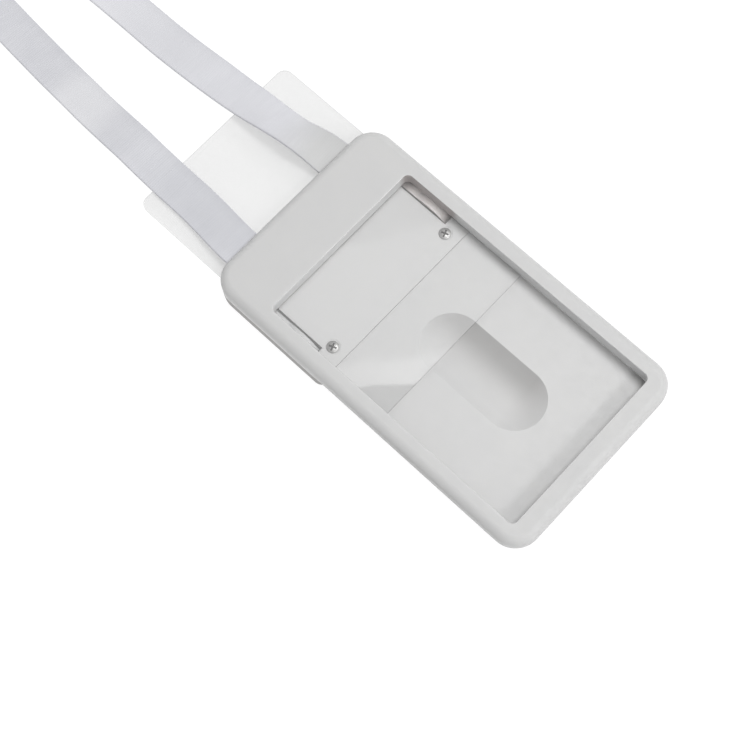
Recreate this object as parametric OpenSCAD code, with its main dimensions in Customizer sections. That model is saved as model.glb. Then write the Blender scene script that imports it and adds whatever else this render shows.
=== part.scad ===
// Lanyard badge holder: an open-fronted card frame with a clear window sheet,
// a screwed cover plate, two spring tongues, and a flat ribbon loop.
// +X is the holder's right, +Y its top, where the ribbon leaves, +Z its front.
// It lies on its back, with the lowest face of the rear bay on z = 0.

/* [Body] */
// Width of the holder
body_width = 59.8; // [58:0.1:66]
// Length of the holder, bottom edge to top edge
body_length = 104.4; // [102:0.1:112]
// Radius of the four outline corners
body_corner = 7; // [5:0.5:8]
// Height of the front face over the bay's back
total_thickness = 10.4; // [10:0.1:12]
// Thickness below the bay
body_thickness = 7.4; // [7:0.1:8]
// Depth of the front frame, front face to parting line
frame_depth = 4; // [3.8:0.1:4.2]
// Rounding of the front edge
front_round = 2.4; // [1:0.1:2.8]
// Rounding of the back edge
back_round = 3.2; // [1:0.1:3.3]

/* [Window] */
// Width of the window
window_width = 50.4; // [48:0.1:51]
// Length of the window
window_length = 80.9; // [78:0.1:82]
// Rim below the window
bottom_rim = 6; // [5.5:0.1:8]
// Radius of the window's corners
window_corner = 1.5; // [1:0.1:2]
// Rounding of the window's front edge
window_break = 0.2; // [0.2:0.05:0.5]

/* [Card channel] */
// Width of the channel that a 54 mm card slides in
channel_width = 54.6; // [54.3:0.1:55]
// Depth of the channel, front to back
channel_depth = 1; // [0.95:0.05:1.1]
// Width of the thumb scoop in the channel's floor
scoop_width = 16.8; // [12:0.2:20]
// Length of the thumb scoop
scoop_length = 37.6; // [24:0.2:44]
// Depth of the thumb scoop
scoop_depth = 1.7; // [0.8:0.1:1.8]
// Height of the scoop's centre over the window's lower edge
scoop_height = 31.9; // [28:0.1:34]

/* [Window sheet] */
// Width of the sheet
sheet_width = 54; // [53.5:0.1:54.2]
// Length of the sheet
sheet_length = 85.6; // [84:0.1:86]
// Thickness of the sheet
sheet_thickness = 0.5; // [0.3:0.05:0.6]
// Radius of the sheet's corners
sheet_corner = 2.6; // [2:0.1:4]
// How far the sheet stands out of the holder's top edge
sheet_proud = 29; // [20:0.5:30]

/* [Bay and cover plate] */
// Length of the rear bay, from the holder's top edge
bay_length = 39.7; // [38:0.1:40]
// Rounding of the bay's back edges
bay_round = 2; // [1:0.1:2.5]
// Wall behind the bay
bay_wall = 1.1; // [0.9:0.1:1.5]
// Thickness of the cover plate
plate_thickness = 1.2; // [1:0.1:1.4]
// Spacing of the cover screws
screw_spacing = 41.8; // [40:0.1:42]
// Diameter of a cover screw's head
screw_head = 3.3; // [3:0.1:3.4]

/* [Spring tongues] */
// Width of a spring tongue
tongue_width = 3.8; // [3:0.1:3.9]
// Free length of a spring tongue
tongue_length = 16.1; // [14:0.1:16.5]
// Height of the tongue's bump over the channel's floor
tongue_rise = 0.35; // [0.2:0.05:0.4]

/* [Lanyard] */
// Width of the ribbon
ribbon_width = 11; // [9:0.5:11]
// Thickness of the ribbon
ribbon_thickness = 0.8; // [0.6:0.05:0.8]
// Length of the folded hank
hank_length = 160; // [150:5:180]
// Width of the folded hank
hank_width = 62; // [60:1:66]

/* [Hidden] */
$fn = 64;

// Clearance between a piece and the recess that holds it, on each side
fit_gap = 0.1;
// Extra length that takes a cut clear of a face
past = 1;

// Heights
front_z = total_thickness;
parting_z = front_z - frame_depth;
floor_z = parting_z - channel_depth;
body_back_z = front_z - body_thickness;
plate_back_z = floor_z - plate_thickness;

// Places along the length: the holder and its sheet are centred on y = 0 together
bottom_y = -(body_length + sheet_proud) / 2;
top_y = bottom_y + body_length;
body_mid_y = (bottom_y + top_y) / 2;
window_low_y = bottom_y + bottom_rim;
window_mid_y = window_low_y + window_length / 2;
sheet_top_y = top_y + sheet_proud;
sheet_home_gap = 0.1;
channel_low_y = window_mid_y - sheet_length / 2 - sheet_home_gap;
top_wall = 1.5;

// Bay and cover plate
bay_low_y = top_y - bay_length;
bay_corner = 3;
plate_low_y = window_low_y + 59.6;
plate_top_y = top_y - top_wall;
plate_ledge = 1.8;
screw_y = plate_low_y + 4.3;
screw_x = screw_spacing / 2;
screw_neck = 1.7;
screw_pilot = 1.5;
screw_length = 4;
screw_seat = 0.15;
screw_ring = 0.8;
boss_width = 4.4;
driver_slot = 0.5;
driver_reach = 2.1;
driver_depth = 0.6;
screw_dome = 0.35;

// Spring tongues and the slots they stand in
tongue_slot_width = 4.5;
tongue_slot_low_y = window_low_y + 65.6;
tongue_slot_top_y = tongue_slot_low_y + tongue_length + 0.7;
tongue_x = channel_width / 2 - fit_gap - tongue_width / 2;
tongue_thickness = 0.9;
tongue_sink = 0.35;
tongue_bump_at = 0.62;
tongue_bump_radius = 11;

// Ribbon pockets, slots and clamps
front_skin = 1.2;
pocket_depth = 2.1;
pocket_width = 14.8;
pocket_x = 17;
pocket_low_y = top_y - 11.9;
slot_wall = 1.8;
slot_height = 1.2;
keeper_thickness = frame_depth - front_skin - pocket_depth;
keeper_width = 50;
keeper_low_y = top_y - 13.9;
stake_width = 1.4;
stake_x = 4;
stake_y = top_y - 7.8;
clamp_width = 11.8;
clamp_length = 5;
clamp_thickness = 1.9;
clamp_fold = 0.6;
clamp_low_y = top_y - 10;

// Rest ridge and pry notch
ridge_height = body_back_z;
ridge_width = 40;
ridge_radius = 2;
ridge_y = bottom_y + 8;
notch_length = 2.2;
notch_height = 0.8;
notch_depth = 0.9;
notch_y = window_low_y + 89.9;

// Hank and tie
hank_low_y = 147;
hank_low_z = 0.4;
hank_height = ribbon_width + 0.4;
tie_width = 9;
tie_band = 0.6;

// Ribbon routes: x, y, height of the centre, and roll, which lifts the left edge
LEFT_ROUTE = [
    [-18.2, 28.5, 8.1, 0], [-18.2, 32.5, 8.1, 0], [-18.2, 36, 8.6, 0], [-18.2, 39, 8.6, 0],
    [-17.9, 44, 8.3, 0], [-17.3, 50, 7.7, 0], [-16.9, 57, 7.2, 0], [-16.8, 65, 7.1, 0],
    [-16.6, 73, 7.1, 0], [-16.3, 80, 7, 0], [-16, 88, 6, 0], [-15.5, 96, 4.4, 0],
    [-14.8, 104, 2.8, 0], [-14.2, 112, 1.5, 0], [-13.6, 120, 0.8, 0], [-13, 128, 0.5, 0],
    [-12.4, 136, 0.5, 0], [-11.8, 144, 0.5, 0], [-11.4, 149, 0.5, 0]];
RIGHT_ROUTE = [
    [15.7, 28.5, 8.1, 0], [15.7, 32.5, 8.1, 0], [15.7, 36, 8.6, 0], [15.7, 39, 8.6, 0],
    [15.3, 43.5, 8.9, 9], [14.3, 49.5, 9.3, 20], [13.6, 56, 9, 18], [13.1, 63, 8.2, 9],
    [12.6, 70, 7.5, 4], [12.2, 77, 7.1, 0], [11.9, 82, 6.9, 0], [11.8, 89, 5.9, 0],
    [12, 97, 4.2, 0], [12.4, 105, 2.7, 0], [12.7, 113, 1.5, 0], [12.8, 121, 0.8, 0],
    [12.7, 129, 0.5, 0], [12.5, 137, 0.5, 0], [12.5, 144, 0.5, 0], [12.8, 149, 0.5, 0]];

// ---- Outlines and edge roundings ----

module rounded_outline(width, length, corner) {
    square([width - 2 * corner, length], center = true);
    square([width, length - 2 * corner], center = true);
    for (x = [-1, 1], y = [-1, 1])
        translate([x * (width / 2 - corner), y * (length / 2 - corner)])
            circle(corner);
}

// What a rounding of the given radius takes off a square edge
module edge_waste(radius) {
    difference() {
        square(radius + past);
        circle(radius);
    }
}

// Waste along the top outer edge of a rounded plate whose top is at z = 0
module outer_edge_waste(width, length, corner, radius) {
    for (turn = [0, 1]) {
        across = turn == 0 ? width : length;
        along = turn == 0 ? length : width;
        for (side = [0, 180])
            rotate([0, 0, 90 * turn + side])
                translate([across / 2 - radius, 0, -radius])
                    rotate([90, 0, 0])
                        linear_extrude(height = along, center = true)
                            edge_waste(radius);
    }
    for (x = [-1, 1], y = [-1, 1])
        translate([x * (width / 2 - corner), y * (length / 2 - corner), -radius])
            rotate([0, 0, x > 0 ? (y > 0 ? 0 : 270) : (y > 0 ? 90 : 180)])
                rotate_extrude(angle = 90)
                    translate([corner - radius, 0])
                        edge_waste(radius);
}

// Waste along the top edge of a rounded hole, whose rim is at z = 0
module hole_edge_waste(width, length, corner, radius) {
    for (turn = [0, 1]) {
        across = turn == 0 ? width : length;
        along = turn == 0 ? length : width;
        for (side = [0, 180])
            rotate([0, 0, 90 * turn + side])
                translate([across / 2 + radius, 0, -radius])
                    rotate([90, 0, 0])
                        linear_extrude(height = along - 2 * corner, center = true)
                            mirror([1, 0])
                                edge_waste(radius);
    }
    for (x = [-1, 1], y = [-1, 1])
        translate([x * (width / 2 - corner), y * (length / 2 - corner), -radius])
            rotate([0, 0, x > 0 ? (y > 0 ? 0 : 270) : (y > 0 ? 90 : 180)])
                rotate_extrude(angle = 90)
                    translate([corner + radius, 0])
                        mirror([1, 0])
                            edge_waste(radius);
}

// ---- Shells ----

module front_frame() {
    color([0.83, 0.83, 0.83])
        difference() {
            translate([0, body_mid_y, parting_z])
                linear_extrude(height = frame_depth)
                    rounded_outline(body_width, body_length, body_corner);
            translate([0, body_mid_y, front_z])
                outer_edge_waste(body_width, body_length, body_corner, front_round);
            translate([0, window_mid_y, parting_z - past])
                linear_extrude(height = frame_depth + 2 * past)
                    rounded_outline(window_width, window_length, window_corner);
            translate([0, window_mid_y, front_z])
                hole_edge_waste(window_width, window_length, window_corner, window_break);
            strap_recesses();
            pry_notch();
        }
    color([0.83, 0.83, 0.83])
        for (x = [-stake_x, stake_x])
            translate([x, stake_y, parting_z + 0.05])
                cylinder(h = keeper_thickness + 0.05, d = stake_width);
}

// Room in the front frame for the ribbon ends, their clamps and the keeper
module strap_recesses() {
    pocket_top_z = front_z - front_skin;
    for (x = [-pocket_x, pocket_x]) {
        translate([x - pocket_width / 2, pocket_low_y, parting_z - past])
            cube([pocket_width, top_y - slot_wall - pocket_low_y, pocket_top_z - parting_z + past]);
        translate([x - pocket_width / 2, top_y - slot_wall - past, pocket_top_z - slot_height])
            cube([pocket_width, slot_wall + 2 * past, slot_height]);
    }
    translate([-keeper_width / 2, keeper_low_y, parting_z - past])
        cube([keeper_width, top_y - top_wall - keeper_low_y, keeper_thickness + past]);
}

// Small notch at the parting line, on the left side near the top
module pry_notch() {
    translate([-body_width / 2 - past, notch_y - notch_length / 2, parting_z - past])
        cube([notch_depth + past, notch_length, notch_height + past]);
}

module rear_shell() {
    color([0.8, 0.8, 0.8])
        difference() {
            union() {
                lower_tray();
                bay_block();
                rest_ridge();
            }
            translate([-channel_width / 2, channel_low_y, floor_z])
                cube([channel_width, top_y - channel_low_y + past, channel_depth + past]);
            plate_recess();
            bay_hollow();
            thumb_scoop();
            for (x = [-screw_x, screw_x])
                translate([x, screw_y, bay_wall])
                    cylinder(h = plate_back_z - bay_wall + past, d = screw_pilot);
        }
}

module lower_tray() {
    difference() {
        translate([0, body_mid_y, body_back_z])
            linear_extrude(height = parting_z - body_back_z)
                rounded_outline(body_width, body_length, body_corner);
        translate([0, body_mid_y, body_back_z])
            mirror([0, 0, 1])
                outer_edge_waste(body_width, body_length, body_corner, back_round);
    }
}

// The thicker block behind the cover plate, flush with the holder's sides and top
module bay_block() {
    mid_y = (bay_low_y + top_y) / 2;
    difference() {
        intersection() {
            translate([0, body_mid_y, 0])
                linear_extrude(height = parting_z)
                    rounded_outline(body_width, body_length, body_corner);
            translate([0, mid_y + body_corner / 2, 0])
                linear_extrude(height = parting_z)
                    rounded_outline(body_width, bay_length + body_corner, bay_corner);
        }
        bay_edge_waste();
    }
}

module bay_edge_waste() {
    side_length = bay_length + 2 * past;
    mid_y = (bay_low_y + top_y) / 2;
    mirror([0, 0, 1]) {
        for (side = [0, 180])
            translate([0, mid_y, 0])
                rotate([0, 0, side])
                    translate([body_width / 2 - bay_round, 0, -bay_round])
                        rotate([90, 0, 0])
                            linear_extrude(height = side_length, center = true)
                                edge_waste(bay_round);
        for (end = [0, 1])
            translate([0, end == 0 ? top_y : bay_low_y, 0])
                rotate([0, 0, end == 0 ? 90 : 270])
                    translate([-bay_round, 0, -bay_round])
                        rotate([90, 0, 0])
                            linear_extrude(height = body_width, center = true)
                                edge_waste(bay_round);
        for (x = [-1, 1]) {
            translate([x * (body_width / 2 - body_corner), top_y - body_corner, -bay_round])
                rotate([0, 0, x > 0 ? 0 : 90])
                    rotate_extrude(angle = 90)
                        translate([body_corner - bay_round, 0])
                            edge_waste(bay_round);
            translate([x * (body_width / 2 - bay_corner), bay_low_y + bay_corner, -bay_round])
                rotate([0, 0, x > 0 ? 270 : 180])
                    rotate_extrude(angle = 90)
                        translate([bay_corner - bay_round, 0])
                            edge_waste(bay_round);
        }
    }
}

// A rounded bar across the back that levels the thin end with the bay
module rest_ridge() {
    reach = ridge_width / 2 - ridge_radius;
    for (x = [-reach, reach])
        translate([x, ridge_y, ridge_radius])
            sphere(ridge_radius);
    translate([-reach, ridge_y, ridge_radius])
        rotate([0, 90, 0])
            cylinder(h = 2 * reach, r = ridge_radius);
    translate([-reach, ridge_y - ridge_radius, ridge_radius])
        cube([2 * reach, 2 * ridge_radius, ridge_height - ridge_radius + 0.2]);
    for (x = [-reach, reach])
        translate([x, ridge_y, ridge_radius])
            cylinder(h = ridge_height - ridge_radius + 0.2, r = ridge_radius);
}

module plate_recess() {
    translate([-channel_width / 2, plate_low_y, plate_back_z])
        cube([channel_width, plate_top_y - plate_low_y, plate_thickness + past]);
}

// The bay behind the plate, less the two screw bosses
module bay_hollow() {
    low = plate_low_y + plate_ledge;
    difference() {
        translate([-channel_width / 2, low, bay_wall])
            cube([channel_width, plate_top_y - plate_ledge - low, plate_back_z - bay_wall + past]);
        for (x = [-screw_x, screw_x])
            translate([x, screw_y, 0])
                cylinder(h = plate_back_z, d = boss_width);
    }
}

// Shallow dished thumb recess with round ends
module thumb_scoop() {
    half = scoop_width / 2;
    radius = (half * half + scoop_depth * scoop_depth) / (2 * scoop_depth);
    reach = scoop_length / 2 - half;
    translate([0, window_low_y + scoop_height, floor_z + radius - scoop_depth]) {
        rotate([90, 0, 0])
            cylinder(h = 2 * reach, r = radius, center = true, $fn = 128);
        for (y = [-reach, reach])
            translate([0, y, 0])
                sphere(radius, $fn = 128);
    }
}

// ---- Cover plate, screws and tongues ----

module cover_plate() {
    plate_width = channel_width - 2 * fit_gap;
    plate_length = plate_top_y - plate_low_y - 2 * fit_gap;
    color([0.84, 0.84, 0.84])
        difference() {
            translate([-plate_width / 2, plate_low_y + fit_gap, plate_back_z])
                cube([plate_width, plate_length, plate_thickness]);
            for (x = [-1, 1])
                translate([x * channel_width / 2 - tongue_slot_width / 2 - x * tongue_slot_width / 2,
                           tongue_slot_low_y, plate_back_z - past])
                    cube([tongue_slot_width, tongue_slot_top_y - tongue_slot_low_y,
                          plate_thickness + 2 * past]);
            for (x = [-screw_x, screw_x])
                translate([x, screw_y, 0])
                    screw_hole();
        }
}

// Clearance hole, a countersink that the head's cone seats in, and a shallow ring round the head
module screw_hole() {
    cone = (screw_head - screw_neck) / 2;
    translate([0, 0, plate_back_z - past])
        cylinder(h = plate_thickness + past, d = screw_neck + 2 * fit_gap);
    translate([0, 0, floor_z - screw_seat - cone])
        cylinder(h = cone, d1 = screw_neck, d2 = screw_head);
    translate([0, 0, floor_z - screw_seat])
        cylinder(h = screw_seat + past, d = screw_head + screw_ring);
}

// Raised countersunk self-tapping screw with a cross recess
module cover_screw(x) {
    cone = (screw_head - screw_neck) / 2;
    head_z = floor_z - screw_seat;
    half = screw_head / 2;
    dome_radius = (half * half + screw_dome * screw_dome) / (2 * screw_dome);
    color([0.62, 0.62, 0.6])
        translate([x, screw_y, head_z])
            difference() {
                union() {
                    translate([0, 0, -screw_length])
                        cylinder(h = screw_length - cone / 2, d = screw_pilot);
                    translate([0, 0, -cone])
                        cylinder(h = cone, d1 = screw_neck, d2 = screw_head);
                    dome(dome_radius);
                }
                for (turn = [0, 90])
                    rotate([0, 0, turn + 20])
                        translate([-driver_reach / 2, -driver_slot / 2, screw_dome - driver_depth - 0.1])
                            cube([driver_reach, driver_slot, 2 * driver_depth]);
            }
}

// The domed top of a screw's head, from the head's rim up
module dome(radius) {
    difference() {
        translate([0, 0, screw_dome - radius])
            sphere(radius);
        translate([-radius - past, -radius - past, -2 * radius - past])
            cube([2 * radius + 2 * past, 2 * radius + 2 * past, 2 * radius + past]);
    }
}

module cover_screw_left() {
    cover_screw(-screw_x);
}

module cover_screw_right() {
    cover_screw(screw_x);
}

// Leaf rooted at its upper end, with a low bump that bears on the sheet
module spring_tongue(x) {
    root_y = tongue_slot_top_y - fit_gap;
    bump_y = root_y - tongue_length * tongue_bump_at;
    color([0.82, 0.82, 0.82])
        translate([x + tongue_width / 2, 0, 0])
            rotate([90, 0, -90])
                linear_extrude(height = tongue_width)
                    tongue_profile(-root_y, -bump_y);
}

// Side view of the tongue, from its root to its tip: a flat leaf, then an arc over the bump
module tongue_profile(root, bump) {
    arc_z = floor_z + tongue_rise - tongue_bump_radius;
    translate([root, floor_z - tongue_sink - tongue_thickness])
        square([bump - root - tongue_thickness, tongue_thickness]);
    intersection() {
        translate([bump - tongue_length / 4, 0])
            square([root + tongue_length - bump + tongue_length / 4, front_z]);
        translate([bump, arc_z])
            difference() {
                circle(tongue_bump_radius, $fn = 256);
                circle(tongue_bump_radius - tongue_thickness, $fn = 256);
            }
    }
}

module spring_tongue_left() {
    spring_tongue(-tongue_x);
}

module spring_tongue_right() {
    spring_tongue(tongue_x);
}

module window_sheet() {
    color([0.93, 0.94, 0.95, 0.45])
        translate([0, sheet_top_y - sheet_length / 2, parting_z - fit_gap - sheet_thickness])
            linear_extrude(height = sheet_thickness)
                rounded_outline(sheet_width, sheet_length, sheet_corner);
}

// ---- Ribbon anchorage ----

module strap_keeper() {
    width = keeper_width - 2 * fit_gap;
    length = top_y - top_wall - keeper_low_y - 2 * fit_gap;
    color([0.75, 0.75, 0.75])
        difference() {
            translate([-width / 2, keeper_low_y + fit_gap, parting_z])
                cube([width, length, keeper_thickness]);
            for (x = [-stake_x, stake_x])
                translate([x, stake_y, parting_z - past])
                    cylinder(h = keeper_thickness + 2 * past, d = stake_width + 2 * fit_gap);
        }
}

// Folded metal clamp that grips a ribbon's end and can't pass its slot
module ribbon_clamp(route) {
    x = route[0][0];
    z = route[0][2];
    color([0.7, 0.7, 0.7])
        difference() {
            translate([x - clamp_width / 2, clamp_low_y, z - clamp_thickness / 2])
                cube([clamp_width, clamp_length, clamp_thickness]);
            translate([x - clamp_width / 2 - past, clamp_low_y + clamp_fold, z - ribbon_thickness / 2])
                cube([clamp_width + 2 * past, clamp_length, ribbon_thickness]);
        }
}

module ribbon_clamp_left() {
    ribbon_clamp(LEFT_ROUTE);
}

module ribbon_clamp_right() {
    ribbon_clamp(RIGHT_ROUTE);
}

// ---- Ribbon ----

function unit(v) = v / norm(v);
function place(p) = [p[0], p[1], p[2]];
function heading(route, i) =
    unit(place(route[min(i + 1, len(route) - 1)]) - place(route[max(i - 1, 0)]));

// Flat eight-sided section, as distances across and through the ribbon
function ribbon_section() =
    let (w = ribbon_width / 2, t = ribbon_thickness / 2)
    [[w, -t / 2], [w, t / 2], [w - t, t], [t - w, t], [-w, t / 2], [-w, -t / 2], [t - w, -t], [w - t, -t]];

function ribbon_ring(route, i) =
    let (roll = route[i][3], along = heading(route, i),
         level = [cos(roll), 0, -sin(roll)],
         across = unit(level - (level * along) * along),
         through = cross(across, along))
    [for (s = ribbon_section()) place(route[i]) + s[0] * across + s[1] * through];

module ribbon(route) {
    sides = len(ribbon_section());
    last = len(route) - 1;
    points = [for (i = [0 : last]) each ribbon_ring(route, i)];
    walls = [for (i = [0 : last - 1], k = [0 : sides - 1])
             let (a = i * sides + k, b = i * sides + (k + 1) % sides)
             each [[a, b, b + sides], [a, b + sides, a + sides]]];
    near_end = [for (k = [sides - 1 : -1 : 0]) k];
    far_end = [for (k = [0 : sides - 1]) last * sides + k];
    color([0.82, 0.82, 0.85])
        polyhedron(points = points, faces = concat(walls, [near_end, far_end]), convexity = 4);
}

module strap_left() {
    ribbon(LEFT_ROUTE);
}

module strap_right() {
    ribbon(RIGHT_ROUTE);
}

module strap_hank() {
    color([0.82, 0.82, 0.85])
        translate([0, hank_low_y + hank_length / 2, hank_low_z])
            linear_extrude(height = hank_height)
                rounded_outline(hank_width, hank_length, hank_width / 2 - 0.5);
}

// Elastic band round the middle of the hank
module hank_tie() {
    width = hank_width + 2 * tie_band;
    height = hank_low_z + hank_height + tie_band;
    color([0.9, 0.9, 0.9])
        translate([0, hank_low_y + hank_length / 2 + tie_width / 2, 0])
            rotate([90, 0, 0])
                linear_extrude(height = tie_width)
                    difference() {
                        translate([0, height / 2])
                            rounded_outline(width, height, 0.8);
                        translate([-hank_width / 2, hank_low_z])
                            square([hank_width, hank_height]);
                    }
}

front_frame();
rear_shell();
cover_plate();
cover_screw_left();
cover_screw_right();
spring_tongue_left();
spring_tongue_right();
window_sheet();
strap_keeper();
ribbon_clamp_left();
ribbon_clamp_right();
strap_left();
strap_right();
strap_hank();
hank_tie();
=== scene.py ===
"""Lanyard badge holder: the ribbon, the tie, the materials, the floor, the lights and the camera.

Everything is in metres in the row frame: +X to the holder's right, +Y out of its top edge,
+Z out of its front face. The holder lies on its back on the floor.
"""

import math

import bmesh
import bpy
from mathutils import Matrix, Vector


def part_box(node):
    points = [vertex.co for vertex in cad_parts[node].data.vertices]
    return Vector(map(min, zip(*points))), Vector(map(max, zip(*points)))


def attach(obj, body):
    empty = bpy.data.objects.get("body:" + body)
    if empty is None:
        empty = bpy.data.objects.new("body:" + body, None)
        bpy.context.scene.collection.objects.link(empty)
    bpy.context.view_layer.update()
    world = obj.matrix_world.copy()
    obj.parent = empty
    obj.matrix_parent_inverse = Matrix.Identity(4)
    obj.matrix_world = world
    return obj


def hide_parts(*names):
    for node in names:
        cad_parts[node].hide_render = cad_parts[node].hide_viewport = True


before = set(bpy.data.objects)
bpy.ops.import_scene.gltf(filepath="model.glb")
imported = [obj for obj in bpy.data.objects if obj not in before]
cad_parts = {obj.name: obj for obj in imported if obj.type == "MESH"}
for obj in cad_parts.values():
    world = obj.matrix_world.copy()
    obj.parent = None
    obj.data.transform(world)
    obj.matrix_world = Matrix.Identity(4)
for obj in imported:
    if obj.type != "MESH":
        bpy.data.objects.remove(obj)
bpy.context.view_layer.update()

MM = 0.001
UP = Vector((0, 0, 1))

# ---- Camera ----

CAMERA_PLACE = Vector((-94.2, -91.6, 363.0)) * MM
CAMERA_AHEAD = Vector((0.20068, 0.21875, -0.95492))
CAMERA_RIGHT = Vector((0.68443, -0.72871, -0.0231))


def make_camera():
    data = bpy.data.cameras.new("camera")
    data.lens, data.sensor_width = 72, 36
    camera = bpy.data.objects.new("camera", data)
    bpy.context.collection.objects.link(camera)
    back = -CAMERA_AHEAD.normalized()
    right = (CAMERA_RIGHT - CAMERA_RIGHT.dot(back) * back).normalized()
    up = back.cross(right)
    turn = Matrix((right, up, back)).transposed()
    camera.matrix_world = Matrix.Translation(CAMERA_PLACE) @ turn.to_4x4()
    bpy.context.scene.camera = camera


# ---- Ribbon route ----

RIBBON_WIDTH = 11 * MM
RIBBON_THICKNESS = 0.62 * MM
SELVEDGE = 0.5 * MM
RING_STEP = 1.25 * MM

# As in part.scad: x, y and height of the centre in mm, and a roll in degrees that lifts the
# left edge
LEFT_ROUTE = [
    (-18.2, 28.5, 8.1, 0), (-18.2, 32.5, 8.1, 0), (-18.2, 36, 8.6, 0), (-18.2, 39, 8.6, 0),
    (-17.9, 44, 8.3, 0), (-17.3, 50, 7.7, 0), (-16.9, 57, 7.2, 0), (-16.8, 65, 7.1, 0),
    (-16.6, 73, 7.1, 0), (-16.3, 80, 7, 0), (-16, 88, 6, 0), (-15.5, 96, 4.4, 0),
    (-14.8, 104, 2.8, 0), (-14.2, 112, 1.5, 0), (-13.6, 120, 0.8, 0), (-13, 128, 0.5, 0),
    (-12.4, 136, 0.5, 0), (-11.8, 144, 0.5, 0), (-11.4, 149, 0.5, 0)]
RIGHT_ROUTE = [
    (15.7, 28.5, 8.1, 0), (15.7, 32.5, 8.1, 0), (15.7, 36, 8.6, 0), (15.7, 39, 8.6, 0),
    (15.3, 43.5, 8.9, 9), (14.3, 49.5, 9.3, 20), (13.6, 56, 9, 18), (13.1, 63, 8.2, 9),
    (12.6, 70, 7.5, 4), (12.2, 77, 7.1, 0), (11.9, 82, 6.9, 0), (11.8, 89, 5.9, 0),
    (12, 97, 4.2, 0), (12.4, 105, 2.7, 0), (12.7, 113, 1.5, 0), (12.8, 121, 0.8, 0),
    (12.7, 129, 0.5, 0), (12.5, 137, 0.5, 0), (12.5, 144, 0.5, 0), (12.8, 149, 0.5, 0)]

# The hank: three runs of ribbon on edge, in lanes about an outline 62 mm across
HANK_NEAR = 147
HANK_LENGTH = 160
OUTER_LANE = 30
LANE_PITCH = 4
FAR_GAP = 0.5
NEAR_BEND_AT = 56
NEAR_BEND_RISE = 0.8
ON_EDGE_Z = 5.9
FLAT_Z = 0.5
ARC_STEPS = 14


def lying(x, y, roll):
    """A point of a stretch that twists while its lower edge rests on the floor."""
    return (x, y, FLAT_Z + (ON_EDGE_Z - FLAT_Z) * math.sin(math.radians(roll)), roll)


def arc(centre_x, centre_y, radius, start, end, z):
    """Points of an arc from one angle to another, in degrees, with the ribbon on edge."""
    turns = [math.radians(start + (end - start) * i / ARC_STEPS) for i in range(ARC_STEPS + 1)]
    return [(centre_x + radius * math.cos(a), centre_y + radius * math.sin(a), z, 90)
            for a in turns]


def run(x, start_y, end_y, z, steps=6):
    """Points along a straight lane, ends left out."""
    return [(x, start_y + (end_y - start_y) * i / steps, z, 90) for i in range(1, steps)]


def hank_route():
    """From the left strand's end, round the lanes, to the right strand's end."""
    inner = OUTER_LANE - LANE_PITCH
    far_y = HANK_NEAR + HANK_LENGTH - OUTER_LANE - FAR_GAP
    near_y = HANK_NEAR + NEAR_BEND_AT
    rise = [
        lying(-11.4, 157, 0), lying(-11.6, 166, 0), lying(-12, 175, 0), lying(-13, 184, 8),
        lying(-15, 193, 24), lying(-18.2, 202, 44), lying(-21.8, 211, 66), lying(-24.6, 220, 84),
        lying(-25.8, 229, 90), lying(-inner, 238, 90)]
    first = run(-inner, 238, far_y, ON_EDGE_Z, 4) + arc(0, far_y, inner, 180, 0, ON_EDGE_Z)
    mean = (inner + OUTER_LANE) / 2
    near_z = ON_EDGE_Z + NEAR_BEND_RISE
    second = run(inner, far_y, near_y, ON_EDGE_Z) + arc(inner - mean, near_y, mean, 0, -180, near_z)
    third = run(-OUTER_LANE, near_y, far_y, ON_EDGE_Z)
    third += arc(0, far_y, OUTER_LANE, 180, 0, ON_EDGE_Z)
    fall = [
        lying(OUTER_LANE, 212, 90), lying(29.7, 203, 90), lying(28.6, 194, 84),
        lying(26.4, 185, 66), lying(23.3, 176, 44), lying(19.7, 168.6, 24),
        lying(16.5, 161.8, 8), lying(14.1, 155.2, 0)]
    fourth = run(OUTER_LANE, far_y, 212, ON_EDGE_Z)
    return rise + first + second + third + fourth + fall


def smooth(points, step):
    """Samples of the curve through the points, a step apart, as Catmull-Rom pieces."""
    points = [Vector(p) for p in points]
    ends = [2 * points[0] - points[1]] + points + [2 * points[-1] - points[-2]]
    fine = []
    for a, b, c, d in zip(ends, ends[1:], ends[2:], ends[3:]):
        count = max(1, round((c - b).to_3d().length / step))
        for i in range(count):
            t = i / count
            fine.append(0.5 * (2 * b + (c - a) * t + (2 * a - 5 * b + 4 * c - d) * t**2
                               + (3 * b - a - 3 * c + d) * t**3))
    return fine + [points[-1]]


# ---- Mesh helpers ----


def mesh_piece(name, verts, faces, material):
    mesh = bpy.data.meshes.new(name)
    mesh.from_pydata([tuple(v) for v in verts], [], faces)
    mesh.update()
    mesh.materials.append(material)
    for polygon in mesh.polygons:
        polygon.use_smooth = True
    piece = bpy.data.objects.new(name, mesh)
    bpy.context.collection.objects.link(piece)
    return piece


def ribbon_frames(line):
    """For each sample: its place, the directions across and through, and the distance along."""
    places = [p.to_3d() * MM for p in line]
    frames, travelled = [], 0
    for i, place in enumerate(places):
        ahead = places[min(i + 1, len(places) - 1)]
        behind = places[max(i - 1, 0)]
        along = (ahead - behind).normalized()
        travelled += (place - places[i - 1]).length if i else 0
        flat = along.cross(UP).normalized()
        roll = math.radians(line[i][3])
        across = flat * math.cos(roll) - UP * math.sin(roll)
        across = (across - across.dot(along) * along).normalized()
        frames.append((place, across, across.cross(along), travelled))
    return frames


def tidy_normals(piece):
    mesh = bmesh.new()
    mesh.from_mesh(piece.data)
    bmesh.ops.recalc_face_normals(mesh, faces=mesh.faces)
    mesh.to_mesh(piece.data)
    mesh.free()


# ---- Materials ----

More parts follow.
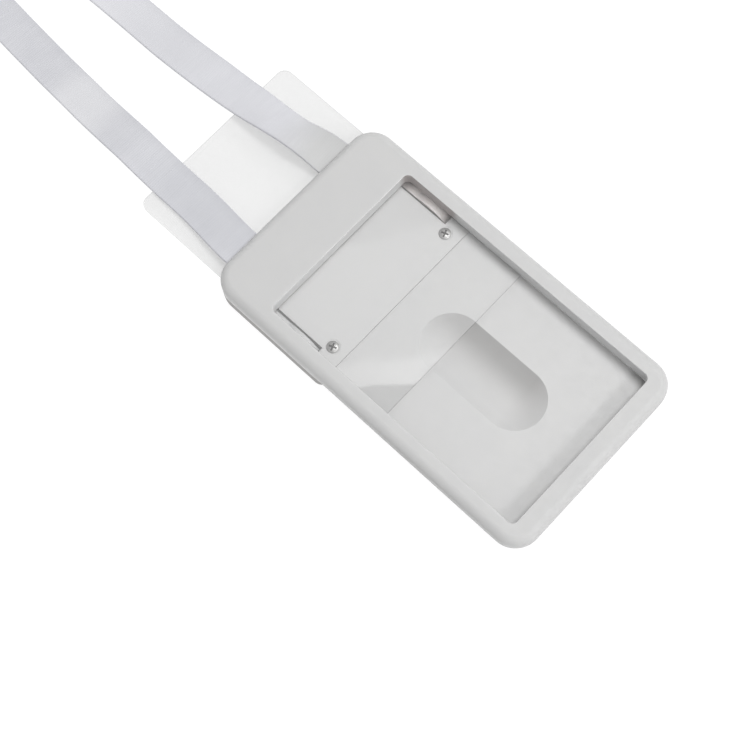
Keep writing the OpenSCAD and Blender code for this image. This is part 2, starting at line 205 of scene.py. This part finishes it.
# Places in millimetres, as in part.scad, for what is painted by place
WINDOW_HALF = 25.2
WINDOW_LOW_Y = -60.7
WINDOW_TOP_Y = 20.2
PARTING_Z = 6.4
FLOOR_Z = 5.4
SCOOP_Y = -28.8
SCOOP_HALF_RUN = 10.4
SCOOP_RADIUS = 8.4
SCREW_RADIUS = 1.65

# Painted shade colours for the right tongue, the shell's sides, the thumb scoop and the screws
BROWN_SHADE = (0.38, 0.34, 0.33, 1)
SIDE_SHADE = (0.2, 0.19, 0.185, 1)
SCOOP_SHADE = (0.2, 0.193, 0.187, 1)
HEAD_EDGE_SHADE = (0.08, 0.078, 0.07, 1)
RECESS_SHADE = (0.02, 0.018, 0.016, 1)

# Pitches of the ribbon's weave, then of the tie's
RIB_PITCH = 0.6 * MM
WARP_PITCH = 0.3 * MM
CORD_PITCH = 0.9 * MM
ZIGZAG_STEP = 0.8 * MM


class Nodes:
    """A material's node tree, with short calls for the nodes used here."""

    def __init__(self, name):
        self.material = bpy.data.materials.new(name)
        self.material.use_nodes = True
        self.tree = self.material.node_tree
        self.shader = self.tree.nodes["Principled BSDF"]

    def add(self, kind, links=(), **settings):
        node = self.tree.nodes.new(kind)
        for key, value in settings.items():
            setattr(node, key, value)
        for socket, source in dict(links).items():
            self.put(node.inputs[socket], source)
        return node

    def put(self, socket, source):
        if isinstance(source, bpy.types.NodeSocket):
            self.tree.links.new(source, socket)
        else:
            socket.default_value = source

    def set(self, **values):
        for key, value in values.items():
            self.put(self.shader.inputs[key.replace("_", " ")], value)

    def place(self):
        """Place on the object in millimetres: each node's mesh is stored in the row frame."""
        coordinates = self.add("ShaderNodeTexCoord").outputs["Object"]
        return self.add("ShaderNodeVectorMath", {0: coordinates, 1: (1 / MM,) * 3},
                        operation="MULTIPLY").outputs["Vector"]

    def maths(self, operation, a, b=0.0, c=0.0):
        return self.add("ShaderNodeMath", {0: a, 1: b, 2: c}, operation=operation).outputs[0]

    def split(self, vector):
        return self.add("ShaderNodeSeparateXYZ", {0: vector}).outputs

    def times(self, *factors):
        product = factors[0]
        for factor in factors[1:]:
            product = self.maths("MULTIPLY", product, factor)
        return product

    def hypot(self, a, b):
        squares = self.maths("POWER", a, 2), self.maths("POWER", b, 2)
        return self.maths("SQRT", self.maths("ADD", *squares))

    def facing_up(self, which="Normal"):
        """The upward part of the surface's direction, from -1 to 1."""
        return self.split(self.add("ShaderNodeNewGeometry").outputs[which])[2]

    def noise(self, vector, per_mm, detail):
        settings = {"Vector": vector, "Scale": per_mm, "Detail": detail}
        return self.add("ShaderNodeTexNoise", settings).outputs["Fac"]

    def remap(self, value, low, high, to_low=0.0, to_high=1.0, smooth=False):
        node = self.add("ShaderNodeMapRange", {0: value, 1: low, 2: high, 3: to_low, 4: to_high})
        node.interpolation_type = "SMOOTHSTEP" if smooth else "LINEAR"
        return node.outputs[0]

    def blend(self, factor, a, b):
        node = self.add("ShaderNodeMix", data_type="RGBA")
        for index, source in ((0, factor), (6, a), (7, b)):
            self.put(node.inputs[index], source)
        return node.outputs[2]

    def bump(self, height, distance, strength):
        settings = {"Height": height, "Distance": distance, "Strength": strength}
        return self.add("ShaderNodeBump", settings).outputs["Normal"]


def grey(level, tint=(0, 0, 0)):
    return (level + tint[0], level + tint[1], level + tint[2], 1)


def moulded_plastic(name, level, roughness, grain, paint_light_and_shade=None):
    """Pale ABS: a fine spark-eroded grain, faint mottling, an uneven sheen and some depth."""
    n = Nodes(name)
    place = n.place()
    mottle = n.noise(place, 0.09, 4)
    fine = n.noise(place, 5.5, 2)
    warm = grey(level * 1.012, (0.002, 0.001, -0.002))
    colour = n.blend(n.remap(mottle, 0.3, 0.7), grey(level * 0.985), warm)
    colour = n.blend(n.remap(fine, 0.35, 0.75, 0, 0.25), colour, grey(level * 0.965))
    # Light and shade painted by place, where a function for it is given
    if paint_light_and_shade:
        colour = paint_light_and_shade(n, place, colour)
    n.set(Base_Color=colour, IOR=1.5)
    n.set(Subsurface_Weight=0.5, Subsurface_Radius=(1, 1, 1), Subsurface_Scale=1.5 * MM)
    n.set(Roughness=n.remap(n.noise(place, 0.5, 3), 0.3, 0.7, roughness - 0.04, roughness + 0.05))
    n.set(Normal=n.bump(fine, grain * MM, 0.6))
    return n.material


def window_walls_painted_light(n, place, colour):
    """Painted light on the inner walls, palest on the top wall, and on the channel underside;
    painted brown shade on the wall by the right tongue.
    """
    x, y, z = n.split(place)
    steep = n.remap(n.maths("ABSOLUTE", n.facing_up()), 0.7, 0.3)
    within_x = n.remap(n.maths("ABSOLUTE", x), WINDOW_HALF + 0.4, WINDOW_HALF + 0.2)
    within_y = n.remap(y, WINDOW_TOP_Y + 0.4, WINDOW_TOP_Y + 0.2)
    above_rim = n.remap(y, WINDOW_LOW_Y - 0.3, WINDOW_LOW_Y - 0.1)
    walls = n.times(steep, within_x, within_y, above_rim)
    top_wall = n.remap(y, WINDOW_TOP_Y - 0.3, WINDOW_TOP_Y - 0.1)
    # Painted light: the inner walls paler than the face, the top wall most
    colour = n.blend(walls, colour, n.blend(top_wall, grey(0.61), grey(0.67)))
    by_tongue = n.times(walls, n.remap(x, 22, 24), n.remap(y, 2, 5, smooth=True))
    # Painted brown shade on the wall by the right tongue
    colour = n.blend(n.times(by_tongue, 0.75), colour, BROWN_SHADE)
    # Painted light on the frame's underside over the card channel
    return n.blend(n.remap(z, PARTING_Z + 0.03, PARTING_Z + 0.01), colour, grey(0.85))


def shell_painted_light_and_shade(n, place, colour):
    """Painted light on the card channel's edges, and painted shade in the scoop and on the sides
    under the parting line.
    """
    x, _, z = n.split(place)
    out = n.maths("ABSOLUTE", x)
    edge = n.times(n.remap(out, WINDOW_HALF, WINDOW_HALF + 0.3),
                   n.remap(z, FLOOR_Z - 0.1, FLOOR_Z - 0.05))
    # Painted light on the channel's edges, over the scoop's painted shade
    colour = n.blend(edge, scoop_painted_shade(n, place, colour), grey(0.85))
    # Painted shade on the sides under the parting line
    side = n.times(n.remap(out, 27.5, 29.2), n.remap(z, PARTING_Z, PARTING_Z - 1.2),
                   n.remap(n.facing_up(), -0.97, -0.85))
    return n.blend(n.times(side, 0.75), colour, SIDE_SHADE)


def tongue_painted_light_and_shade(n, place, colour):
    """The right tongue gets painted brown shade at its root and tip and a painted highlight over
    its bump.
    """
    x, y, _ = n.split(place)
    # Painted highlight over the bump, between painted shade at root and tip
    lit_bump = n.times(n.remap(y, 20.5, 17, smooth=True), n.remap(y, 4.5, 8, smooth=True))
    tongue_light_and_shade = n.blend(lit_bump, BROWN_SHADE, (0.9, 0.84, 0.82, 1))
    return n.blend(n.remap(x, 23.1, 23.3), colour, tongue_light_and_shade)


def scoop_painted_shade(n, place, colour):
    """Painted shade in the thumb scoop, darkest on its right."""
    x, y, z = n.split(place)
    off_middle = n.maths("ABSOLUTE", n.maths("SUBTRACT", y, SCOOP_Y))
    beyond = n.maths("MAXIMUM", n.maths("SUBTRACT", off_middle, SCOOP_HALF_RUN), 0)
    reach = n.hypot(x, beyond)
    inside = n.times(n.remap(reach, SCOOP_RADIUS + 0.5, SCOOP_RADIUS + 0.1),
                     n.remap(z, FLOOR_Z - 0.005, FLOOR_Z - 0.03),
                     n.maths("GREATER_THAN", z, FLOOR_Z - 2))
    # Painted shade, darkest on the right and fainter towards the low end
    shade_to_right = n.times(n.remap(x, -5.5, 5, 0, 0.46), n.remap(y, -47, -40, 0.2, 1))
    return n.blend(n.times(inside, shade_to_right), colour, SCOOP_SHADE)


def clear_sheet_plastic():
    """A milky veil with painted reflections in soft-edged bands, denser towards its top end, with
    cut edges in painted shade, darker towards the low end.
    """
    n = Nodes("clear_sheet_plastic")
    place = n.place()
    x, y, _ = n.split(place)
    broad = n.noise(place, 0.028, 2)
    bend = n.remap(broad, 0.3, 0.7, -2, 2)
    # Each painted reflection band runs across the sheet at this slant, with its place given in mm
    slant = n.maths("ADD", n.maths("ADD", n.times(x, 0.58), n.times(y, 0.81)), bend)
    haze_and_reflections = n.blend(n.remap(slant, -23.4, -22.6), grey(0.38), grey(0.8))
    haze_and_reflections = n.blend(n.remap(slant, -17.5, -14.5), haze_and_reflections, grey(0.62))
    haze_and_reflections = n.blend(n.remap(slant, 15.8, 17), haze_and_reflections, grey(0.54))
    haze_and_reflections = n.blend(n.remap(y, 34, 38), haze_and_reflections, grey(0.56))
    settings = {"Vector": place, "Rotation": (0, 0, 0.5), "Scale": (0.05, 3, 1)}
    streaks = n.noise(n.add("ShaderNodeMapping", settings).outputs[0], 1.0, 2)
    scratch = n.remap(streaks, 0.68, 0.74, 0, 0.03)
    denser_to_top = n.remap(y, 30, 38, 0.12, 0.26)
    veil = n.maths("ADD", n.maths("ADD", denser_to_top, n.remap(broad, 0.35, 0.65, 0, 0.06)), scratch)
    # Painted shade on the cut edges, darker towards the low end
    cut = n.remap(n.maths("ABSOLUTE", n.facing_up("True Normal")), 0.3, 0.7, 1, 0)
    near_end = n.remap(y, 30, -30)
    cut_shade = n.blend(near_end, (0.42, 0.42, 0.43, 1), (0.1, 0.1, 0.1, 1))
    n.set(Base_Color=n.blend(cut, haze_and_reflections, cut_shade), IOR=1.49)
    n.set(Alpha=n.maths("MAXIMUM", veil, n.times(cut, n.remap(near_end, 0, 0.6, 0.45, 0.95))))
    n.set(Roughness=n.remap(broad, 0.3, 0.7, 0.06, 0.12))
    return n.material


def plated_steel(name, level, roughness, recess=None):
    """Nickel-plated steel with fine uneven marks."""
    n = Nodes(name)
    place = n.place()
    marks = n.noise(place, 9, 3)
    warm = grey(level, (0.01, 0.005, -0.01))
    colour = n.blend(n.remap(marks, 0.35, 0.65), grey(level * 0.8), warm)
    if recess:
        colour = recess(n, place, colour)
    n.set(Base_Color=colour, Metallic=1.0)
    n.set(Roughness=n.remap(marks, 0.3, 0.7, roughness - 0.06, roughness + 0.1))
    n.set(Normal=n.bump(marks, 0.02 * MM, 0.5))
    return n.material


def screw_painted_shade(n, place, colour):
    """Painted shade in a cover screw's recess and round its head's edge. The screws mirror each
    other in x.
    """
    low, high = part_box("cover_screw_right")
    x, y, z = n.split(place)
    across = n.maths("SUBTRACT", n.maths("ABSOLUTE", x), (low[0] + high[0]) / 2 / MM)
    along = n.maths("SUBTRACT", y, (low[1] + high[1]) / 2 / MM)
    top = high[2] / MM
    radius = n.hypot(across, along)
    sunk = n.times(n.remap(radius, 1.12, 1.06), n.remap(z, top - 0.12, top - 0.2))
    rim = n.remap(radius, SCREW_RADIUS - 0.17, SCREW_RADIUS - 0.05, 0, 0.8)
    # Painted shade: near black in the recess, darker round the head's edge
    return n.blend(sunk, n.blend(rim, colour, HEAD_EDGE_SHADE), RECESS_SHADE)


def ribbon_weave():
    """Grosgrain: ribs across with painted shade in their troughs, a plain selvedge along each edge,
    and painted light and shade that vary along it.
    """
    n = Nodes("ribbon_weave")
    along, across, _ = n.split(n.add("ShaderNodeUVMap", uv_map="woven").outputs[0])
    plain_from = RIBBON_WIDTH / 2 - SELVEDGE
    selvedge = n.remap(n.maths("ABSOLUTE", across), plain_from, plain_from + 0.2 * MM, smooth=True)
    ribs = n.maths("SINE", n.times(along, 2 * math.pi / RIB_PITCH))
    warps = n.maths("SINE", n.times(across, 2 * math.pi / WARP_PITCH))
    relief = n.maths("ADD", n.times(ribs, n.remap(selvedge, 0, 1, 0.5, 0.1)), n.times(warps, 0.12))
    picks = n.add("ShaderNodeCombineXYZ", {0: n.times(along, 1400), 1: n.times(across, 90)})
    uneven = n.noise(picks.outputs[0], 1.0, 2)
    cloud = n.noise(n.place(), 0.12, 2)
    dull, bright = (0.56, 0.563, 0.594, 1), (0.59, 0.593, 0.624, 1)
    base = n.blend(n.remap(uneven, 0.3, 0.7), dull, bright)
    # Painted shade in the troughs between the ribs
    base = n.blend(n.remap(ribs, -1, 0, 0.09, 0), base, (0.36, 0.36, 0.4, 1))
    base = n.blend(n.remap(cloud, 0.35, 0.65, 0, 0.14), base, (0.68, 0.68, 0.7, 1))
    # Distances along in metres: painted light on the second half, a painted highlight patch, and
    # painted shade at the ends by the case
    painted_light_half = n.times(n.remap(along, 0.45, 0.75, 0, 0.9), n.remap(along, 0.81, 0.87, 1, 0.2))
    base = n.blend(painted_light_half, base, (0.7, 0.7, 0.73, 1))
    highlight_patch = n.times(n.remap(along, 0.057, 0.067, smooth=True),
                    n.remap(along, 0.086, 0.076, smooth=True))
    base = n.blend(n.times(highlight_patch, 0.65), base, (0.72, 0.72, 0.74, 1))
    base = n.blend(n.remap(along, 0.046, 0.036, 0, 0.24), base, (0.4, 0.41, 0.44, 1))
    base = n.blend(n.remap(along, 0.888, 0.9, 0, 0.5), base, (0.41, 0.41, 0.38, 1))
    base = n.blend(n.times(selvedge, 0.3), base, (0.44, 0.44, 0.48, 1))
    n.set(Base_Color=base, Roughness=n.remap(uneven, 0.3, 0.7, 0.5, 0.66))
    n.set(Sheen_Weight=0.2, Sheen_Roughness=0.4, Sheen_Tint=(0.9, 0.9, 1, 1), IOR=1.45)
    n.set(Normal=n.bump(relief, 0.05 * MM, 0.5))
    return n.material


def elastic_weave():
    """Flat white elastic: cords round the band under a zigzag of covering thread."""
    n = Nodes("elastic_weave")
    along, across, _ = n.split(n.add("ShaderNodeUVMap", uv_map="woven").outputs[0])
    cords = n.maths("SINE", n.times(across, 2 * math.pi / CORD_PITCH))
    zigzag = n.maths("PINGPONG", n.times(along, 1 / ZIGZAG_STEP), 1.0)
    relief = n.maths("ADD", n.times(cords, 0.5), n.times(zigzag, 0.4))
    shade = n.remap(relief, -0.6, 0.6)
    n.set(Base_Color=n.blend(shade, (0.55, 0.55, 0.56, 1), (0.76, 0.76, 0.76, 1)))
    n.set(Roughness=n.remap(zigzag, 0, 1, 0.6, 0.75), Sheen_Weight=0.2, Sheen_Roughness=0.5)
    n.set(Normal=n.bump(relief, 0.08 * MM, 0.6))
    return n.material


# ---- Pieces ----


def swept_band(name, frames, profile, material, closed=False):
    """A profile of (across, through) points swept along frames, with a UV map named woven."""
    sides = len(profile)
    verts, faces, woven = [], [], []
    for place, across, through, _ in frames:
        verts += [place + across * a + through * h for a, h in profile]
    steps = len(frames) if closed else len(frames) - 1
    for i in range(steps):
        j = (i + 1) % len(frames)
        from_u = frames[i][3]
        to_u = frames[j][3] if j else from_u + (frames[0][0] - frames[i][0]).length
        for k in range(sides):
            m = (k + 1) % sides
            faces.append((i * sides + k, i * sides + m, j * sides + m, j * sides + k))
            low, high = profile[k][0], profile[m][0]
            woven += [(from_u, low), (from_u, high), (to_u, high), (to_u, low)]
    if not closed:
        for ring, order in ((0, range(sides)), (steps, range(sides - 1, -1, -1))):
            faces.append(tuple(ring * sides + k for k in order))
            woven += [(frames[ring][3], profile[k][0]) for k in order]
    piece = mesh_piece(name, verts, faces, material)
    layer = piece.data.uv_layers.new(name="woven")
    for entry, place in zip(layer.data, woven):
        entry.uv = place
    tidy_normals(piece)
    return piece


def flat_profile(width, thickness, selvedge, swell):
    """Half-round edges, a slightly thicker selvedge along each, and a flat middle."""
    half, core = width / 2, thickness / 2
    side = [
        (half, 0), (half - 0.12 * selvedge, 0.7 * core * swell),
        (half - 0.4 * selvedge, core * swell), (half - 0.8 * selvedge, core * swell),
        (half - 1.2 * selvedge, core), (half / 2, core)]
    top = side + [(0, core)] + [(-a, h) for a, h in reversed(side)]
    return top + [(a, -h) for a, h in reversed(top[1:-1])]


def make_ribbon(material):
    # The right strand is run back to the case, which turns its roll round
    back = [(x, y, z, -roll) for x, y, z, roll in reversed(RIGHT_ROUTE)]
    line = smooth(LEFT_ROUTE + hank_route() + back, RING_STEP / MM)
    frames = ribbon_frames(line)
    profile = flat_profile(RIBBON_WIDTH, RIBBON_THICKNESS, SELVEDGE, swell=1.2)
    piece = swept_band("ribbon", frames, profile, material)
    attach(piece, "holder")
    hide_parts("strap_left", "strap_right", "strap_hank")
    return piece, [tuple(place) for place, *_ in frames]


TIE_THICKNESS = 0.5 * MM
TIE_CORNER = 1.2 * MM
TIE_CORNER_STEPS = 8
TIE_STEP = 2 * MM
OVERLAP_HALF = 7


def make_tie(material):
    """An elastic band round the hank, with its overlap sewn down on top."""
    low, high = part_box("hank_tie")
    middle_y = (low[1] + high[1]) / 2
    side = (high[0] - low[0] - TIE_THICKNESS) / 2 - TIE_CORNER
    base, top = low[2] + 0.2 * MM, high[2] - TIE_THICKNESS / 2
    lower, upper = base + TIE_CORNER, top - TIE_CORNER
    outline = []
    for x, z, start in (
            (side, lower, -90), (side, upper, 0), (-side, upper, 90), (-side, lower, 180)):
        for i in range(TIE_CORNER_STEPS + 1):
            turn = math.radians(start + 90 * i / TIE_CORNER_STEPS)
            corner = TIE_CORNER * Vector((math.cos(turn), 0, math.sin(turn)))
            outline.append(Vector((x, middle_y, z)) + corner)
    path = []
    for a, b in zip(outline, outline[1:] + outline[:1]):
        count = max(1, round((b - a).length / TIE_STEP))
        path += [a.lerp(b, i / count) for i in range(count)]
    frames, travelled = [], 0
    for i, place in enumerate(path):
        along = (path[(i + 1) % len(path)] - path[i - 1]).normalized()
        travelled += (place - path[i - 1]).length if i else 0
        across = Vector((0, 1, 0))
        frames.append((place, across, across.cross(along), travelled))
    width = high[1] - low[1]
    thin = [(a, h * 0.7) for a, h in flat_profile(width, TIE_THICKNESS, SELVEDGE, swell=1.1)]
    piece = swept_band("tie_band", frames, thin, material, closed=True)
    lap_z = top + 0.62 * TIE_THICKNESS
    places = [i * MM for i in range(-OVERLAP_HALF, OVERLAP_HALF + 1)]
    lap = [(Vector((x, middle_y, lap_z)), Vector((0, 1, 0)), UP, x) for x in places]
    overlap = swept_band("tie_overlap", lap, [(a * 0.96, h * 0.8) for a, h in thin], material)
    for made in (piece, overlap):
        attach(made, "holder")
    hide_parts("hank_tie")
    return piece, overlap


# ---- Floor, lights ----

FLOOR_HALF = 40
FLOOR_HEIGHT = -0.2 * MM
LIGHT_DISTANCE = 1.3


def make_floor():
    """Pale lit paper: its own light keeps the shadows on it faint."""
    n = Nodes("floor_paper")
    mottle = n.remap(n.noise(n.place(), 0.004, 2), 0.3, 0.7)
    n.set(Base_Color=n.blend(mottle, grey(0.12), grey(0.14)), Roughness=0.9)
    n.set(Emission_Color=(1, 1, 1, 1), Emission_Strength=0.93)
    corners = [(x * FLOOR_HALF, y * FLOOR_HALF, FLOOR_HEIGHT)
               for x, y in ((-1, -1), (1, -1), (1, 1), (-1, 1))]
    floor = mesh_piece("floor", corners, [(0, 1, 2, 3)], n.material)


def area_light(name, azimuth, elevation, size, power):
    """A round soft light. Azimuth 0 is on the +X side and 90 on the +Y side."""
    a, e = math.radians(azimuth), math.radians(elevation)
    towards = Vector((math.cos(a) * math.cos(e), math.sin(a) * math.cos(e), math.sin(e)))
    data = bpy.data.lights.new(name, "AREA")
    data.shape, data.size, data.energy = "DISK", size, power
    light = bpy.data.objects.new(name, data)
    light.location = towards * LIGHT_DISTANCE
    light.rotation_mode = "QUATERNION"
    light.rotation_quaternion = towards.to_track_quat("Z", "Y")
    bpy.context.collection.objects.link(light)


def make_lights():
    world = bpy.data.worlds.new("studio")
    world.use_nodes = True
    background = world.node_tree.nodes["Background"]
    background.inputs["Color"].default_value = (1, 1, 1, 1)
    background.inputs["Strength"].default_value = 0.48
    bpy.context.scene.world = world
    area_light("key", -15, 70, 0.62, 9.9)
    area_light("side", -90, 45, 0.32, 3)
    area_light("fill", -115, 32, 1.3, 2.2)


make_camera()
ribbon, ribbon_path = make_ribbon(ribbon_weave())
tie, tie_overlap = make_tie(elastic_weave())

FINISHES = {
    "front_frame": moulded_plastic("frame_plastic", 0.54, 0.56, 0.02, window_walls_painted_light),
    "rear_shell": moulded_plastic("shell_plastic", 0.55, 0.48, 0.03, shell_painted_light_and_shade),
    "cover_plate": moulded_plastic("plate_plastic", 0.57, 0.48, 0.03),
    "spring_tongue_left": moulded_plastic("tongue_plastic", 0.56, 0.46, 0.03, tongue_painted_light_and_shade),
    "window_sheet": clear_sheet_plastic(),
    "cover_screw_left": plated_steel("screw_steel", 0.43, 0.4, screw_painted_shade),
    "ribbon_clamp_left": plated_steel("clamp_steel", 0.65, 0.35)}
SAME_FINISH = {
    "spring_tongue_right": "spring_tongue_left", "strap_keeper": "rear_shell",
    "cover_screw_right": "cover_screw_left", "ribbon_clamp_right": "ribbon_clamp_left"}


def finish_node(node, material):
    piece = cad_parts[node]
    piece.data.materials.clear()
    piece.data.materials.append(material)


for node, material in FINISHES.items():
    finish_node(node, material)
for node, like in SAME_FINISH.items():
    finish_node(node, FINISHES[like])
# The plate stays as bright under the clear sheet as in the open
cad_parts["window_sheet"].visible_shadow = False

make_floor()
make_lights()
bpy.context.scene.view_settings.view_transform = "Standard"
